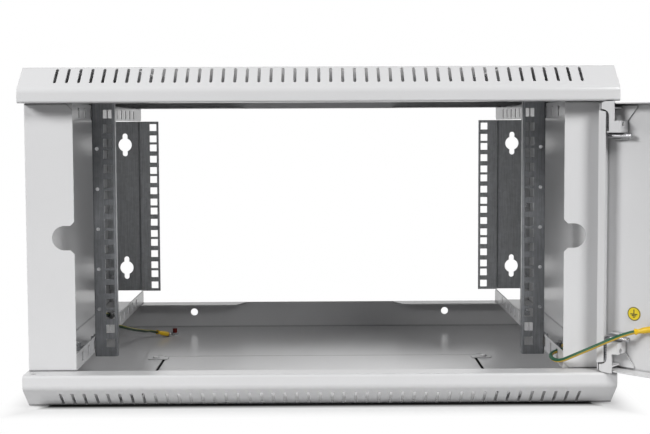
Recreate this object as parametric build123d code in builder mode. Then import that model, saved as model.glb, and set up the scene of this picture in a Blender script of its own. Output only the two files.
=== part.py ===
# Wall mount network cabinet, 19-inch, six units high, with its steel door open.
# Millimetres. X to the right seen from the front, Y away from the viewer, Z up.
# The origin is the middle of the face that the cabinet stands on.
from math import atan2, cos, pi, radians, sin, tan

from build123d import *
import os

os.makedirs("parts", exist_ok=True)

# Rack standard
rack_unit = 44.45
units = 6
hole_step_in_unit = 15.875
rack_hole_spacing = 465.1
square_hole = 9.5

# Overall body
width = 600.0
depth = 450.0
sheet = 1.2
rail_sheet = 1.5
clear_above_units = 3.65
cap_height = 36.5
ledge_depth = 22.0

# Front bevel of the covers and its slots
bevel_run = 25.0
bevel_rise = 23.0
bevel_ridge_radius = 8.0
bevel_end_radius = 5.0
ledge_edge_radius = 2.5
vent_pitch = 12.0
vent_count = 45
vent_length = 22.0
vent_width = 3.0
vent_place = 0.605

# Rear lip of the covers
lip_flange_depth = 25.0
lip_gap_half = 104.0
lip_hole_radius = 5.0
lip_hole_x = 178.0
lip_hole_z = 22.5

# Cable entry plate in each cover
entry_half = 193.0
entry_front_gap = 35.0
entry_depth = 219.0
entry_side_gap = 3.5
entry_end_gap = 1.0
tab_length = 24.0
tab_width = 12.0
tab_inset = 14.0
tab_overlap = 3.0
tab_screw_out = 3.0
tab_corner = 2.0
lance_length = 7.0
lance_width = 1.6
lance_out = 6.0

# Side panels
side_inset = 1.0
beam_x = 250.0
beam_height = 17.0
beam_corner = 6.0
beam_slot_pitch = 30.5
beam_slot_count = 12
beam_slot_width = 8.0
beam_slot_height = 10.5
first_slot_back = 30.2
rear_return = 13.0
notch_radius = 12.5
notch_mouth = 4.0
corner_cut = 7.0

# Front rails
rail_back = 114.5
rail_face = 25.2
rail_outer_return = 40.0
rail_inner_return = 8.0
rail_end_over = 8.55
rail_bend = 2.0
small_hole_radius = 2.0
small_hole_out = 12.0

# Rear brackets
bracket_half = 119.5
bracket_joggle = 4.0
joggle_start = 4.0
joggle_run = 3.0
joggle_shift = 1.0
bracket_edge_gap = 0.2
keyhole_inset = 27.4
keyhole_z = 86.9
keyhole_radius = 9.3
keyhole_slot = 7.0
keyhole_length = 32.0
bracket_screw_inset = 8.5
bracket_screw_z = 100.0

# Fasteners
m6_radius = 3.0
m6_hole = 3.3
m6_head_radius = 5.0
m6_head_height = 3.5
m6_nut_across = 10.0
m6_nut_height = 5.0
m4_hole = 2.1
m4_radius = 2.0
m4_head_radius = 3.6
m4_head_height = 2.2
washer_radius = 6.0
washer_height = 1.0
thread_over = 3.0
head_round = 0.8
side_screw_off_middle = 4.5
side_screw_front = 99.0
side_screw_rear = 304.7

# Door
door_open = 137.0
door_gap = 2.0
door_depth = 19.5
door_lip = 7.5
door_lip_end = 7.0
door_lip_slope = 2.0
door_bend = 1.6
door_side_gap = 4.5
pin_from_edge = 5.0
pin_from_face = 10.0
pin_notch_length = 18.0
pin_notch_depth = 3.0

# Hinge pins and their welded brackets
pin_radius = 2.5
pin_fit = 0.06
pin_reach = 6.0
pin_end_round = 1.0
handle_drop = 32.8
handle_length = 26.0
handle_bend = 3.0
collar_radius = 3.6
collar_height = 1.2
collar_below_end = 12.5
spring_radius = 3.1
spring_wire = 0.35
spring_turns = 6
spring_gap = 0.05

# Outline of a hinge bracket, across from the pin's axis and down from the door's end
bracket_sheet = 1.5
bracket_over = 1.6
bracket_over_left = 0.2
bracket_reach = 2.2
bracket_over_start = 0.6
bracket_edge = 6.2
bracket_neck = 11.7
bracket_wall = 17.8
bracket_step = 18.0
bracket_curve_low = 14.0
bracket_curve_high = 6.0
ear_lower = 29.7
ear_upper = 4.5
ear_reach = 3.2
ear_gap = 0.2
foot_edge = 3.2
foot_wing = 27.5
foot_top = 3.0
foot_wing_rise = 2.0
foot_below = 7.5
wall_hole_radius = 2.6
wall_hole_drop = 21.0
wall_hole_in = 7.0
tab_reach = 11.8
tab_pin_gap = 1.0

# Lock
lock_body_radius = 9.4
lock_head_radius = 12.0
lock_head_height = 3.0
lock_fit = 0.05
lock_core_radius = 7.0
lock_length = 22.0
lock_round = 1.0
lock_nut_across = 24.0
lock_nut_height = 4.0
lock_from_edge = 35.5
cam_length = 30.0
cam_width = 15.0
cam_thickness = 2.0
cam_clearance = 4.3
cam_hole = 5.0
key_slot_length = 8.0
key_slot_width = 1.6
key_slot_depth = 5.0

# Earth leads, studs and lugs
stud_radius = 3.0
floor_stud_x = -198.0
floor_stud_y = 165.0
floor_stud_height = 9.0
door_stud_u = 64.0
door_stud_z = -85.0
door_stud_height = 9.0
stud_washer_radius = 5.0
stud_washer_height = 0.6
stud_nut_across = 9.0
stud_nut_height = 2.4
floor_lead_radius = 1.75
door_lead_radius = 2.0
lug_sheet = 0.8
lug_radius = 5.5
lug_tongue = 4.5
lug_reach = 10.0
lug_rise = 16.0
barrel_radius = 2.4
barrel_length = 8.0
boot_start = 4.0
boot_radius = 3.2
boot_length = 20.0
lead_straight = 14.0

# How near an edge's place has to be to the one asked for, where edges are picked for a fillet
pick = 0.01

# Places worked out from the driving sizes
opening = units * rack_unit + 2 * clear_above_units
height = opening + 2 * cap_height
mid_z = height / 2
front_y = -depth / 2
rear_y = depth / 2
flange_y = front_y + ledge_depth
side_x = width / 2 - side_inset
rail_y = front_y + rail_back
rail_half = units * rack_unit / 2 + rail_end_over
rail_inner_x = beam_x - rail_face
rim_x = beam_x + 2 * sheet
beam_mid_z = cap_height + (beam_height + sheet) / 2
first_slot_y = flange_y + first_slot_back
rail_slot_y = first_slot_y + 3 * beam_slot_pitch
side_screw_x = (beam_x + side_x) / 2 - side_screw_off_middle
side_screw_y = (flange_y + side_screw_front, flange_y + side_screw_rear)
keyhole_x = width / 2 - keyhole_inset
bracket_screw_x = width / 2 - bracket_screw_inset
entry_front = front_y + entry_front_gap
entry_rear = entry_front + entry_depth
hinge_x = width / 2 - door_side_gap - pin_from_edge
hinge_y = front_y + pin_from_face
door_half = opening / 2 - door_gap
door_width = width - 2 * door_side_gap
lock_u = door_width - pin_from_edge - lock_from_edge
notch_centre_x = lock_u - hinge_x
beam_slot_z = (beam_mid_z, height - beam_mid_z)

# Frame of the open door: x runs from the hinge pin to the free edge, y points out of the door
door_frame = Plane(
    origin=(hinge_x, hinge_y, mid_z),
    x_dir=(-cos(radians(door_open)), -sin(radians(door_open)), 0),
    z_dir=(0, 0, 1),
)
door_edge = -pin_from_edge
outer_v = pin_from_face
skin_v = outer_v - sheet
rim_v = outer_v - door_depth


def door_point(u, v, z):
    """A point of the open door, z counted from the cabinet's middle, in the cabinet's frame."""
    return door_frame.from_local_coords(Vector(u, v, z))


def door_face(v):
    """A sketch plane parallel to the door's skin, at v: x runs to the free edge and y up."""
    return Plane(origin=door_point(0, v, 0), x_dir=door_frame.x_dir, z_dir=-door_frame.y_dir)


def door_level(z):
    """A horizontal sketch plane across the open door."""
    return Plane(origin=door_point(0, 0, z), x_dir=door_frame.x_dir, z_dir=(0, 0, 1))


def hole_heights():
    """Heights of the rail holes from the middle of the rack space, three to each unit."""
    rows = []
    for unit in range(units):
        base = (unit - units / 2) * rack_unit
        for step in (-1, 0, 1):
            rows.append(base + rack_unit / 2 + step * hole_step_in_unit)
    return rows


def keep(builder, name):
    """Labels a finished piece and writes its file."""
    builder.part.label = name
    export_step(builder.part, f"parts/{name}.step")


# Bottom cover: floor, bevelled slotted front, rear wall and a rim level all round, in one folded sheet
bevel_angle = atan2(bevel_rise, bevel_run)
cover_bends = (
    ((front_y, bevel_rise), bevel_ridge_radius),
    ((front_y + bevel_run, 0), bevel_end_radius),
    ((front_y, cap_height), ledge_edge_radius),
)
with BuildPart() as bottom_cover:
    with BuildSketch(Plane.YZ) as cover_section:
        with BuildLine():
            Polyline(
                (front_y + bevel_run, 0),
                (rear_y, 0),
                (rear_y, cap_height),
                (front_y, cap_height),
                (front_y, bevel_rise),
                close=True,
            )
        make_face()
        for bend, radius in cover_bends:
            fillet(cover_section.vertices().sort_by_distance(bend)[0], radius)
    extrude(amount=width / 2, both=True)
    with BuildSketch(Plane.YZ):
        offset(cover_section.sketch_local, amount=-sheet, kind=Kind.INTERSECTION)
    extrude(amount=width / 2 - sheet, both=True, mode=Mode.SUBTRACT)
    # The opening inside the rim, which at the rear leaves two flanges with a gap between them
    with BuildSketch(Plane.XY.offset(cap_height - sheet)):
        with BuildLine():
            Polyline(
                (0, flange_y),
                (rim_x, flange_y),
                (rim_x, rear_y - lip_flange_depth),
                (lip_gap_half + lip_flange_depth / 2, rear_y - lip_flange_depth),
                (lip_gap_half, rear_y - sheet),
                (0, rear_y - sheet),
                close=True,
            )
        make_face()
        mirror(about=Plane.YZ)
    extrude(amount=sheet, mode=Mode.SUBTRACT)
    # Vent slots through the bevel
    slot_plane = Plane(
        origin=(0, front_y + vent_place * bevel_run, (1 - vent_place) * bevel_rise),
        x_dir=(1, 0, 0),
        z_dir=(0, -sin(bevel_angle), -cos(bevel_angle)),
    )
    with BuildSketch(slot_plane):
        with GridLocations(vent_pitch, 1, vent_count, 1):
            SlotOverall(vent_length, vent_width, rotation=90)
    extrude(amount=-3 * sheet, mode=Mode.SUBTRACT)
    # Cable entry opening, lance marks beside it, and the plate's screw holes
    with BuildSketch():
        with Locations((0, (entry_front + entry_rear) / 2)):
            Rectangle(2 * entry_half, entry_depth)
        with Locations([(side * (entry_half + lance_out), entry_rear + lance_out) for side in (-1, 1)]):
            Rectangle(lance_length, lance_width)
    extrude(amount=sheet, mode=Mode.SUBTRACT)
    tab_x = entry_half - entry_side_gap + tab_length / 2 - tab_overlap
    tab_ys = (entry_front + tab_inset, entry_rear - tab_inset)
    tab_screws = [(side * (tab_x + tab_screw_out), y) for side in (-1, 1) for y in tab_ys]
    with BuildSketch():
        with Locations(tab_screws):
            Circle(m4_hole)
        with Locations((floor_stud_x, floor_stud_y)):
            Circle(stud_radius)
    extrude(amount=sheet, mode=Mode.SUBTRACT)
    # Holes of the rear lip
    with BuildSketch(Plane.XZ.offset(-rear_y)):
        with Locations((-lip_hole_x, lip_hole_z), (lip_hole_x, lip_hole_z)):
            Circle(lip_hole_radius)
    extrude(amount=2 * sheet, mode=Mode.SUBTRACT)
    # Holes in the rim for the side screws, and for hinge pins at both ends of the ledge
    side_screw_spots = [(side * side_screw_x, y) for side in (-1, 1) for y in side_screw_y]
    with BuildSketch(Plane.XY.offset(cap_height - sheet)):
        with Locations(side_screw_spots):
            Circle(m6_hole)
        with Locations((-hinge_x, hinge_y), (hinge_x, hinge_y)):
            Circle(pin_radius + pin_fit)
    extrude(amount=sheet, mode=Mode.SUBTRACT)
keep(bottom_cover, "bottom_cover")

# Top cover: the same sheet turned over, without the earth stud's hole
with BuildPart() as top_cover:
    mirror(bottom_cover.part, about=Plane.XY.offset(mid_z))
    with BuildSketch(Plane.XY.offset(height - sheet)):
        with Locations((floor_stud_x, floor_stud_y)):
            Circle(2 * stud_radius)
    extrude(amount=sheet)
keep(top_cover, "top_cover")

# Cable entry plates, hung in the covers' openings by four tabs
with BuildPart() as bottom_entry_plate:
    with BuildSketch():
        with Locations((0, (entry_front + entry_rear) / 2)):
            Rectangle(2 * (entry_half - entry_side_gap), entry_depth - 2 * entry_end_gap)
    extrude(amount=sheet)
    with BuildSketch(Plane.XY.offset(sheet)):
        with Locations([(side * tab_x, y) for side in (-1, 1) for y in tab_ys]):
            RectangleRounded(tab_length, tab_width, tab_corner)
    extrude(amount=sheet)
    with BuildSketch(Plane.XY.offset(sheet)):
        with Locations(tab_screws):
            Circle(m4_hole)
    extrude(amount=sheet, mode=Mode.SUBTRACT)
keep(bottom_entry_plate, "bottom_entry_plate")

with BuildPart() as top_entry_plate:
    mirror(bottom_entry_plate.part, about=Plane.XY.offset(mid_z))
keep(top_entry_plate, "top_entry_plate")

with BuildPart() as entry_plate_screws:
    with BuildSketch(Plane.XY.offset(2 * sheet)):
        with Locations(tab_screws):
            Circle(m4_head_radius)
    extrude(amount=m4_head_height)
    fillet(entry_plate_screws.faces().filter_by(Plane.XY).sort_by(Axis.Z)[-4:].edges(), head_round)
    with BuildSketch(Plane.XY):
        with Locations(tab_screws):
            Circle(m4_radius)
    extrude(amount=2 * sheet)
    mirror(about=Plane.XY.offset(mid_z))
keep(entry_plate_screws, "entry_plate_screws")

# Left side panel: wall, front flange, rear return, and top and bottom flanges with slotted webs.
# The right one is the same part turned over.
with BuildPart() as side_panel_left:
    with BuildSketch(Plane.XY.offset(cap_height)) as side_section:
        with BuildLine():
            Polyline(
                (-beam_x, flange_y),
                (-side_x, flange_y),
                (-side_x, rear_y),
                (-side_x + rear_return, rear_y),
                (-side_x + rear_return, rear_y - sheet),
                (-side_x + sheet, rear_y - sheet),
                (-side_x + sheet, flange_y + sheet),
                (-beam_x, flange_y + sheet),
                close=True,
            )
        make_face()
        fillet(side_section.vertices().sort_by_distance((-side_x, flange_y))[0], sheet)
    extrude(amount=opening)
    with BuildSketch(Plane.XZ.offset(-flange_y)) as side_flange:
        with BuildLine():
            Polyline(
                (-side_x + sheet, cap_height),
                (-beam_x, cap_height),
                (-beam_x, cap_height + beam_height),
                (-beam_x - sheet, cap_height + beam_height),
                (-beam_x - sheet, cap_height + sheet),
                (-side_x + sheet, cap_height + sheet),
                close=True,
            )
        make_face()
        mirror(about=Plane.XZ.offset(-mid_z))
    extrude(amount=-(depth - ledge_depth))
    # The web's rounded rear corners
    web_edges = side_panel_left.edges().filter_by(Axis.X).filter_by(
        lambda edge: abs(edge.length - sheet) < pick
        and abs(edge.center().Y - rear_y) < pick
        and abs(abs(edge.center().Z - mid_z) - (opening / 2 - beam_height)) < pick
    )
    fillet(web_edges, beam_corner)
    # Bends between the front flange and the top and bottom ones
    flange_bends = side_panel_left.edges().filter_by(Axis.X).filter_by(
        lambda edge: abs(edge.center().Y - flange_y) < pick
        and abs(abs(edge.center().Z - mid_z) - opening / 2) < pick
    )
    fillet(flange_bends, sheet)
    # Slots for the rails, along both webs
    with BuildSketch(Plane.YZ.offset(-beam_x)):
        for row_z in beam_slot_z:
            for index in range(beam_slot_count):
                with Locations((first_slot_y + index * beam_slot_pitch, row_z)):
                    Rectangle(beam_slot_width, beam_slot_height)
    extrude(amount=-2 * sheet, mode=Mode.SUBTRACT)
    # Half-round notch that clears the lock, with its bevelled mouth, and one cut corner
    with BuildSketch(Plane.XZ.offset(-flange_y)):
        with Locations((-notch_centre_x, mid_z)):
            Circle(notch_radius)
        with BuildLine():
            Polyline(
                (-notch_centre_x, mid_z - notch_radius),
                (-beam_x, mid_z - notch_radius),
                (-beam_x, mid_z + notch_radius),
                (-notch_centre_x, mid_z + notch_radius),
                close=True,
            )
        make_face()
        with BuildLine():
            Polyline(
                (-beam_x - notch_mouth, mid_z - notch_radius),
                (-beam_x, mid_z - notch_radius - notch_mouth),
                (-beam_x, mid_z + notch_radius + notch_mouth),
                (-beam_x - notch_mouth, mid_z + notch_radius),
                close=True,
            )
        make_face()
    extrude(amount=-sheet, mode=Mode.SUBTRACT)
    with BuildSketch(Plane.XZ.offset(-flange_y)):
        with BuildLine():
            Polyline(
                (-beam_x, height - cap_height - corner_cut),
                (-beam_x, height - cap_height),
                (-beam_x - corner_cut, height - cap_height),
                close=True,
            )
        make_face()
    extrude(amount=-sheet / 2, mode=Mode.SUBTRACT)
    # Holes for the bracket screws and the side screws
    with BuildSketch(Plane.XZ.offset(-rear_y)):
        with Locations([(-bracket_screw_x, mid_z + row * bracket_screw_z) for row in (-1, 0, 1)]):
            Circle(m4_hole)
    extrude(amount=sheet, mode=Mode.SUBTRACT)
    with BuildSketch(Plane.XY.offset(cap_height)):
        with Locations([(-side_screw_x, y) for y in side_screw_y]):
            Circle(m6_hole)
    extrude(amount=opening, mode=Mode.SUBTRACT)
keep(side_panel_left, "side_panel_left")

with BuildPart() as side_panel_right:
    turned_over = side_panel_left.part.rotate(Axis((0, 0, mid_z), (0, 1, 0)), 180)
    add(turned_over)
keep(side_panel_right, "side_panel_right")

# Screws and nuts that hold the side panels on the covers' rims
with BuildPart() as side_screws:
    with BuildSketch(Plane.XY.offset(cap_height - sheet - m6_head_height)):
        with Locations(side_screw_spots):
            Circle(m6_head_radius)
    extrude(amount=m6_head_height)
    with BuildSketch(Plane.XY.offset(cap_height - sheet)):
        with Locations(side_screw_spots):
            Circle(m6_radius)
    extrude(amount=2 * sheet + m6_nut_height + thread_over)
    mirror(about=Plane.XY.offset(mid_z))
keep(side_screws, "side_screws")

nut_seat = cap_height + sheet
lugged_spots = [(side_screw_x, side_screw_y[0]), (-side_screw_x, side_screw_y[1])]
plain_spots = [(-side_screw_x, side_screw_y[0]), (side_screw_x, side_screw_y[1])]
nut_rows = (
    (nut_seat, plain_spots),
    (nut_seat + lug_sheet, lugged_spots),
    (height - nut_seat - m6_nut_height, side_screw_spots),
)
with BuildPart() as side_nuts:
    for level, spots in nut_rows:
        with BuildSketch(Plane.XY.offset(level)):
            with Locations(spots):
                RegularPolygon(m6_nut_across / 2, 6, major_radius=False)
                Circle(m6_radius, mode=Mode.SUBTRACT)
        extrude(amount=m6_nut_height)
keep(side_nuts, "side_nuts")

# Left front rail: a folded channel with square holes and a row of small round ones
with BuildPart() as front_rail_left:
    with BuildSketch(Plane.XY.offset(mid_z - rail_half)) as rail_section:
        with BuildLine():
            Polyline(
                (-beam_x, rail_y + rail_outer_return),
                (-beam_x, rail_y),
                (-rail_inner_x, rail_y),
                (-rail_inner_x, rail_y + rail_inner_return),
                (-rail_inner_x - rail_sheet, rail_y + rail_inner_return),
                (-rail_inner_x - rail_sheet, rail_y + rail_sheet),
                (-beam_x + rail_sheet, rail_y + rail_sheet),
                (-beam_x + rail_sheet, rail_y + rail_outer_return),
                close=True,
            )
        make_face()
        front_bends = rail_section.vertices().group_by(Axis.Y)[0]
        fillet(front_bends, rail_bend)
    extrude(amount=2 * rail_half)
    with BuildSketch(Plane.XZ.offset(-rail_y)):
        with Locations([(-rack_hole_spacing / 2, mid_z + z) for z in hole_heights()]):
            Rectangle(square_hole, square_hole)
        with Locations(
            [
                (-rack_hole_spacing / 2 - small_hole_out, mid_z + (k + 1 - units / 2) * rack_unit)
                for k in range(units - 1)
            ]
        ):
            Circle(small_hole_radius)
    extrude(amount=-rail_sheet, mode=Mode.SUBTRACT)
    with BuildSketch(Plane.YZ.offset(-beam_x)):
        with Locations([(rail_slot_y, z) for z in beam_slot_z]):
            Circle(m6_hole)
    extrude(amount=rail_sheet, mode=Mode.SUBTRACT)
keep(front_rail_left, "front_rail_left")

with BuildPart() as front_rail_right:
    mirror(front_rail_left.part, about=Plane.YZ)
keep(front_rail_right, "front_rail_right")

# Bolts through the rails' returns and the side panels' slots, with their nuts and washers
with BuildPart() as rail_bolts:
    with BuildSketch(Plane.YZ.offset(beam_x - rail_sheet)):
        with Locations([(rail_slot_y, z) for z in beam_slot_z]):
            Circle(m6_head_radius)
    extrude(amount=-m6_head_height)
    with BuildSketch(Plane.YZ.offset(beam_x - rail_sheet)):
        with Locations([(rail_slot_y, z) for z in beam_slot_z]):
            Circle(m6_radius)
    extrude(amount=rail_sheet + sheet + washer_height + m6_nut_height + thread_over)
    mirror(about=Plane.YZ)
keep(rail_bolts, "rail_bolts")

with BuildPart() as rail_nuts:
    with BuildSketch(Plane.YZ.offset(beam_x + sheet)):
        with Locations([(rail_slot_y, z) for z in beam_slot_z]):
            Circle(washer_radius)
            Circle(m6_radius, mode=Mode.SUBTRACT)
    extrude(amount=washer_height)
    with BuildSketch(Plane.YZ.offset(beam_x + sheet + washer_height)):
        with Locations([(rail_slot_y, z) for z in beam_slot_z]):
            RegularPolygon(m6_nut_across / 2, 6, major_radius=False)
            Circle(m6_radius, mode=Mode.SUBTRACT)
    extrude(amount=m6_nut_height)
    mirror(about=Plane.YZ)
keep(rail_nuts, "rail_nuts")

# Left rear bracket: keyhole plate for the wall, joggled forward into a short rear rail
bracket_y = rear_y - sheet
rear_rail_y = bracket_y - rail_sheet - bracket_joggle
joggle_outer_x = -beam_x - joggle_start
joggle_inner_x = joggle_outer_x + joggle_run
with BuildPart() as rear_bracket_left:
    with BuildSketch(Plane.XY.offset(mid_z - bracket_half)) as bracket_section:
        with BuildLine():
            Polyline(
                (-side_x + sheet + bracket_edge_gap, bracket_y),
                (-side_x + sheet + bracket_edge_gap, bracket_y - rail_sheet),
                (joggle_outer_x, bracket_y - rail_sheet),
                (joggle_inner_x, rear_rail_y),
                (-rail_inner_x, rear_rail_y),
                (-rail_inner_x, rear_rail_y + rail_sheet),
                (joggle_inner_x + joggle_shift, rear_rail_y + rail_sheet),
                (joggle_outer_x + joggle_shift, bracket_y),
                close=True,
            )
        make_face()
    extrude(amount=2 * bracket_half)
    with BuildSketch(Plane.XZ.offset(-rear_y)):
        for row in (-1, 1):
            with Locations((-keyhole_x, mid_z + row * keyhole_z)):
                Circle(keyhole_radius)
                SlotOverall(keyhole_length, keyhole_slot, rotation=90)
        with Locations([(-bracket_screw_x, mid_z + row * bracket_screw_z) for row in (-1, 0, 1)]):
            Circle(m4_hole)
    extrude(amount=sheet + rail_sheet, mode=Mode.SUBTRACT)
    with BuildSketch(Plane.XZ.offset(-rear_rail_y)):
        with Locations([(-rack_hole_spacing / 2, mid_z + z) for z in hole_heights()[1:-1]]):
            Rectangle(square_hole, square_hole)
    extrude(amount=-rail_sheet, mode=Mode.SUBTRACT)
keep(rear_bracket_left, "rear_bracket_left")

with BuildPart() as rear_bracket_right:
    mirror(rear_bracket_left.part, about=Plane.YZ)
keep(rear_bracket_right, "rear_bracket_right")

with BuildPart() as bracket_screws:
    with BuildSketch(Plane.XZ.offset(-(bracket_y - rail_sheet))):
        with Locations([(bracket_screw_x, mid_z + row * bracket_screw_z) for row in (-1, 0, 1)]):
            Circle(m4_head_radius)
    extrude(amount=m4_head_height)
    with BuildSketch(Plane.XZ.offset(-(bracket_y - rail_sheet))):
        with Locations([(bracket_screw_x, mid_z + row * bracket_screw_z) for row in (-1, 0, 1)]):
            Circle(m4_radius)
    extrude(amount=-(rail_sheet + sheet))
    mirror(about=Plane.YZ)
keep(bracket_screws, "bracket_screws")

# Door panel: skin, hinge and lock side flanges with return lips, top and bottom flanges
free_u = door_edge + door_width
with BuildPart() as door_panel:
    with BuildSketch(door_level(-door_half)) as door_section:
        with BuildLine():
            Polyline(
                (door_edge, outer_v),
                (free_u, outer_v),
                (free_u, rim_v),
                (free_u - door_lip, rim_v),
                (free_u - door_lip, rim_v + sheet),
                (free_u - sheet, rim_v + sheet),
                (free_u - sheet, skin_v),
                (door_edge + sheet, skin_v),
                (door_edge + sheet, rim_v + sheet),
                (door_edge + door_lip, rim_v + sheet),
                (door_edge + door_lip, rim_v),
                (door_edge, rim_v),
                close=True,
            )
        make_face()
    extrude(amount=2 * door_half)
    outer_edges = door_panel.edges().filter_by(Axis.Z).filter_by(
        lambda edge: door_frame.to_local_coords(edge.center()).Y > outer_v - pick
    )
    fillet(outer_edges, door_bend)
    # The lips stop short of the ends, with chamfered corners
    with BuildSketch(door_face(rim_v)):
        for side in (-1, 1):
            for u_root, u_tip in (
                (door_edge - sheet, door_edge + door_lip + sheet),
                (free_u + sheet, free_u - door_lip - sheet),
            ):
                with BuildLine():
                    Polyline(
                        (u_root, side * (door_half + sheet)),
                        (u_root, side * (door_half - door_lip_end)),
                        (u_tip, side * (door_half - door_lip_end - door_lip_slope)),
                        (u_tip, side * (door_half + sheet)),
                        close=True,
                    )
                make_face()
    extrude(amount=-sheet, mode=Mode.SUBTRACT)
    # Top and bottom flanges, notched at the hinge ends and drilled for the pins
    for side in (-1, 1):
        level = door_half - sheet if side > 0 else -door_half
        with BuildSketch(door_level(level)):
            with BuildLine():
                Polyline(
                    (door_edge + sheet, skin_v),
                    (free_u - sheet, skin_v),
                    (free_u - sheet, rim_v),
                    (door_edge + pin_notch_length, rim_v),
                    (door_edge + pin_notch_length, rim_v + pin_notch_depth),
                    (door_edge + sheet, rim_v + pin_notch_depth),
                    close=True,
                )
            make_face()
            Circle(pin_radius + 4 * pin_fit, mode=Mode.SUBTRACT)
        extrude(amount=sheet)
    # Hole for the lock
    with BuildSketch(door_face(rim_v)):
        with Locations((lock_u, 0)):
            Circle(lock_body_radius + 2 * lock_fit)
    extrude(amount=-door_depth, mode=Mode.SUBTRACT)
keep(door_panel, "door_panel")


# Hinge brackets: each is one folded plate, welded inside the door, that guides a spring pin
foot_v = skin_v - bracket_sheet
inner_v = rim_v + bracket_sheet
step_z = door_half - bracket_step
ear_low_z = door_half - ear_lower
ear_top_z = door_half - ear_upper
foot_low_z = ear_low_z - foot_below
with BuildPart() as hinge_bracket_upper:
    # Foot on the door's skin, with its sloping edge
    with BuildSketch(door_face(foot_v)):
        with BuildLine():
            Polyline(
                (foot_edge, door_half - foot_top),
                (foot_wing, door_half - foot_top),
                (foot_wing, door_half - foot_top - foot_wing_rise),
                (bracket_wall, step_z),
                (bracket_wall, foot_low_z),
                (foot_edge, foot_low_z),
                close=True,
            )
        make_face()
    extrude(amount=-bracket_sheet)
    # Raised plate level with the door's rim, which reaches past the lip's end
    with BuildSketch(door_face(rim_v)):
        with BuildLine():
            lower_left = (bracket_edge, ear_low_z)
            curve_start = (bracket_edge, door_half - bracket_curve_low)
            curve_end = (-bracket_reach, door_half - bracket_curve_high)
            Line(lower_left, curve_start)
            Spline(curve_start, curve_end, tangents=[(0, 1), (-1, 0.15)])
            Polyline(
                curve_end,
                (-bracket_reach, door_half + bracket_over_left),
                (bracket_over_start, door_half + bracket_over),
                (bracket_neck, door_half + bracket_over),
                (bracket_neck, step_z),
                (bracket_wall, step_z),
                (bracket_wall, ear_low_z),
                lower_left,
            )
        make_face()
    extrude(amount=-bracket_sheet)
    # Side wall down to the foot, with its round hole
    side_wall = Plane(
        origin=door_point(bracket_wall, 0, 0), x_dir=door_frame.y_dir, z_dir=door_frame.x_dir
    )
    with BuildSketch(side_wall):
        with Locations(((rim_v + foot_v) / 2, (step_z + ear_low_z) / 2)):
            Rectangle(foot_v - rim_v, step_z - ear_low_z)
        with Locations((rim_v + wall_hole_in, door_half - wall_hole_drop)):
            Circle(wall_hole_radius, mode=Mode.SUBTRACT)
    extrude(amount=-bracket_sheet)
    # Two ears bored for the pin
    for level, end_u in ((ear_low_z, bracket_wall), (ear_top_z - bracket_sheet, bracket_neck)):
        with BuildSketch(door_level(level)):
            with BuildLine():
                Polyline(
                    (-ear_reach, inner_v + ear_gap),
                    (bracket_edge, inner_v),
                    (end_u, inner_v),
                    (end_u, foot_v),
                    (-ear_reach, foot_v),
                    close=True,
                )
            make_face()
            Circle(pin_radius + pin_fit, mode=Mode.SUBTRACT)
        extrude(amount=bracket_sheet)
    # Tab that rests beside the pulled handle
    tab_v = pin_radius + tab_pin_gap
    with BuildSketch(door_level(foot_low_z)):
        with Locations(((foot_edge + tab_reach) / 2, (foot_v + tab_v) / 2)):
            Rectangle(tab_reach - foot_edge, foot_v - tab_v)
    extrude(amount=bracket_sheet)
keep(hinge_bracket_upper, "hinge_bracket_upper")

with BuildPart() as hinge_bracket_lower:
    mirror(hinge_bracket_upper.part, about=Plane.XY.offset(mid_z))
keep(hinge_bracket_lower, "hinge_bracket_lower")

# Hinge pins: a round rod bent into a handle, with a collar that the spring pushes
handle_z = door_half - handle_drop
pin_tip_z = opening / 2 + pin_reach
with BuildPart() as hinge_pin_upper:
    with BuildLine() as pin_path:
        FilletPolyline(
            door_point(handle_length, 0, handle_z),
            door_point(0, 0, handle_z),
            door_point(0, 0, pin_tip_z),
            radius=handle_bend,
        )
    with BuildSketch(Plane(origin=pin_path.line @ 0, z_dir=pin_path.line % 0)):
        Circle(pin_radius)
    sweep()
    tip_edge = hinge_pin_upper.edges().filter_by(GeomType.CIRCLE).sort_by(Axis.Z)[-1]
    chamfer(tip_edge, pin_end_round)
    with BuildSketch(door_level(door_half - collar_below_end)):
        Circle(collar_radius)
    extrude(amount=collar_height)
    handle_end = hinge_pin_upper.faces().sort_by_distance(door_point(handle_length, 0, handle_z))[0]
    fillet(handle_end.edges(), pin_end_round)
keep(hinge_pin_upper, "hinge_pin_upper")

with BuildPart() as hinge_pin_lower:
    mirror(hinge_pin_upper.part, about=Plane.XY.offset(mid_z))
keep(hinge_pin_lower, "hinge_pin_lower")

# Springs between each bracket's inner ear and the pin's collar
spring_low = ear_low_z + bracket_sheet + spring_wire + spring_gap
spring_high = door_half - collar_below_end - spring_wire - spring_gap
with BuildPart() as hinge_spring_upper:
    spring_base = door_level(spring_low)
    with BuildLine(spring_base) as coil:
        Helix(
            pitch=(spring_high - spring_low) / spring_turns,
            height=spring_high - spring_low,
            radius=spring_radius,
        )
    with BuildSketch(Plane(origin=coil.line @ 0, z_dir=coil.line % 0)):
        RegularPolygon(spring_wire, 6)
    sweep(is_frenet=True)
keep(hinge_spring_upper, "hinge_spring_upper")

with BuildPart() as hinge_spring_lower:
    mirror(hinge_spring_upper.part, about=Plane.XY.offset(mid_z))
keep(hinge_spring_lower, "hinge_spring_lower")

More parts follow.
